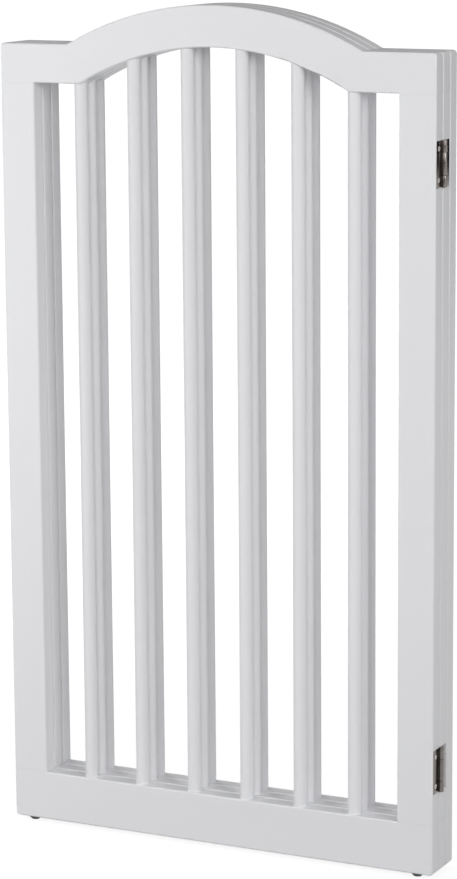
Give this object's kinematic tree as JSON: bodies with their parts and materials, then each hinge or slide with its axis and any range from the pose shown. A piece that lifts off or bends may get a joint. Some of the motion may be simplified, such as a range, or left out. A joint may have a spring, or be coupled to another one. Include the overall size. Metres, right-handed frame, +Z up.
{
  "type": "folding pet gate",
  "caption": "Free-standing folding pet gate of arched white slatted wooden panels that fold flat on each other and open on butt hinges.",
  "frame": {"origin": "on the floor under the middle of the folded stack", "axes": "+Z up, X along the panels, -Y out of the front panel's outer face"},
  "size_m": [0.5176, 0.056, 0.914],
  "materials": {
    "white_paint": "satin white paint on wood",
    "hinge_nickel": "nickel plated steel",
    "screw_nickel": "nickel plated steel",
    "glide_plastic": "matt dark plastic",
    "nail_steel": "bright steel",
    "bare_beech": "bare wood"
  },
  "bodies": {
    "front_panel": {"front_bottom_rail": "white_paint", "front_corner_pins": "bare_beech", "front_glide_nails": "nail_steel", "front_glides": "glide_plastic", "front_hinge_screws": "screw_nickel", "front_left_stile": "white_paint", "front_right_stile": "white_paint", "front_slat_1": "white_paint", "front_slat_2": "white_paint", "front_slat_3": "white_paint", "front_slat_4": "white_paint", "front_slat_5": "white_paint", "front_slat_6": "white_paint", "front_top_rail": "white_paint", "lower_right_hinge_front_leaf": "hinge_nickel", "lower_right_hinge_pin": "hinge_nickel", "upper_right_hinge_front_leaf": "hinge_nickel", "upper_right_hinge_pin": "hinge_nickel"},
    "middle_panel": {"lower_left_hinge_middle_leaf": "hinge_nickel", "lower_right_hinge_middle_leaf": "hinge_nickel", "middle_bottom_rail": "white_paint", "middle_corner_pins": "bare_beech", "middle_glide_nails": "nail_steel", "middle_glides": "glide_plastic", "middle_left_hinge_screws": "screw_nickel", "middle_left_stile": "white_paint", "middle_right_hinge_screws": "screw_nickel", "middle_right_stile": "white_paint", "middle_slat_1": "white_paint", "middle_slat_2": "white_paint", "middle_slat_3": "white_paint", "middle_slat_4": "white_paint", "middle_slat_5": "white_paint", "middle_slat_6": "white_paint", "middle_top_rail": "white_paint", "upper_left_hinge_middle_leaf": "hinge_nickel", "upper_right_hinge_middle_leaf": "hinge_nickel"},
    "rear_panel": {"lower_left_hinge_pin": "hinge_nickel", "lower_left_hinge_rear_leaf": "hinge_nickel", "rear_bottom_rail": "white_paint", "rear_corner_pins": "bare_beech", "rear_glide_nails": "nail_steel", "rear_glides": "glide_plastic", "rear_hinge_screws": "screw_nickel", "rear_left_stile": "white_paint", "rear_right_stile": "white_paint", "rear_slat_1": "white_paint", "rear_slat_2": "white_paint", "rear_slat_3": "white_paint", "rear_slat_4": "white_paint", "rear_slat_5": "white_paint", "rear_slat_6": "white_paint", "rear_top_rail": "white_paint", "upper_left_hinge_pin": "hinge_nickel", "upper_left_hinge_rear_leaf": "hinge_nickel"}
  },
  "joints": [
    {"name": "middle_fold", "type": "hinge", "parent": "front_panel", "child": "middle_panel", "pos_m": [0.2558, -0.0095, 0.4435], "axis": [0, 0, -1], "range_deg": [0, 180]},
    {"name": "rear_fold", "type": "hinge", "parent": "middle_panel", "child": "rear_panel", "pos_m": [-0.2558, 0.0095, 0.4435], "axis": [0, 0, 1], "range_deg": [0, 180]}
  ]
}
